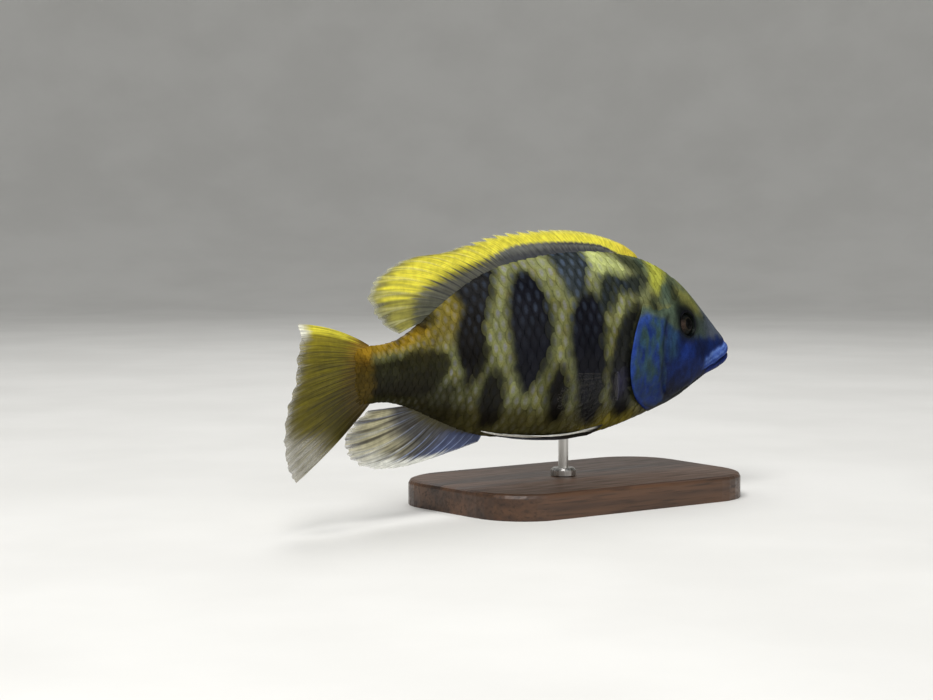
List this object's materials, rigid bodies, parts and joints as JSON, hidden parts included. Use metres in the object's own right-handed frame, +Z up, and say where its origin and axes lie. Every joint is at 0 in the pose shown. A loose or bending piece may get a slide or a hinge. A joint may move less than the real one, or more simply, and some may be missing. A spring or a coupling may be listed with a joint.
{
  "type": "giraffe cichlid model",
  "caption": "Life-size still model of a male giraffe cichlid swimming with its tail bent to one side, on a flat base with a short rod.",
  "frame": {"origin": "on the underside of the stand's base, below the middle of the model's box in length and width", "axes": "+X the way the fish heads, +Y to its left, +Z up"},
  "size_m": [0.2276, 0.0782, 0.1075],
  "materials": {
    "skin": "satin painted scales, olive yellow with dark blue-grey blotches",
    "face": "satin painted, blue with green mottling",
    "yellow_fin": "satin, bright yellow over grey-blue",
    "pale_fin": "satin, grey-blue to beige with pale rays",
    "clear_fin": "thin and translucent with fine rays",
    "eye": "gloss, dark iris and black pupil",
    "stand_wood": "dark oiled wood",
    "stand_metal": "satin steel"
  },
  "bodies": {
    "root": {"head": "face", "lower_jaw": "face", "gill_cover_left": "face", "gill_cover_right": "face", "eye_left": "eye", "eye_right": "eye", "torso_front": "skin", "torso_rear": "skin", "tail_stock": "skin", "dorsal_fin": "yellow_fin", "anal_fin": "pale_fin", "caudal_fin": "yellow_fin", "pectoral_fin_left": "clear_fin", "pectoral_fin_right": "clear_fin", "pelvic_fin_left": "pale_fin", "pelvic_fin_right": "pale_fin", "stand_base": "stand_wood", "stand_rod": "stand_metal"}
  },
  "joints": []
}
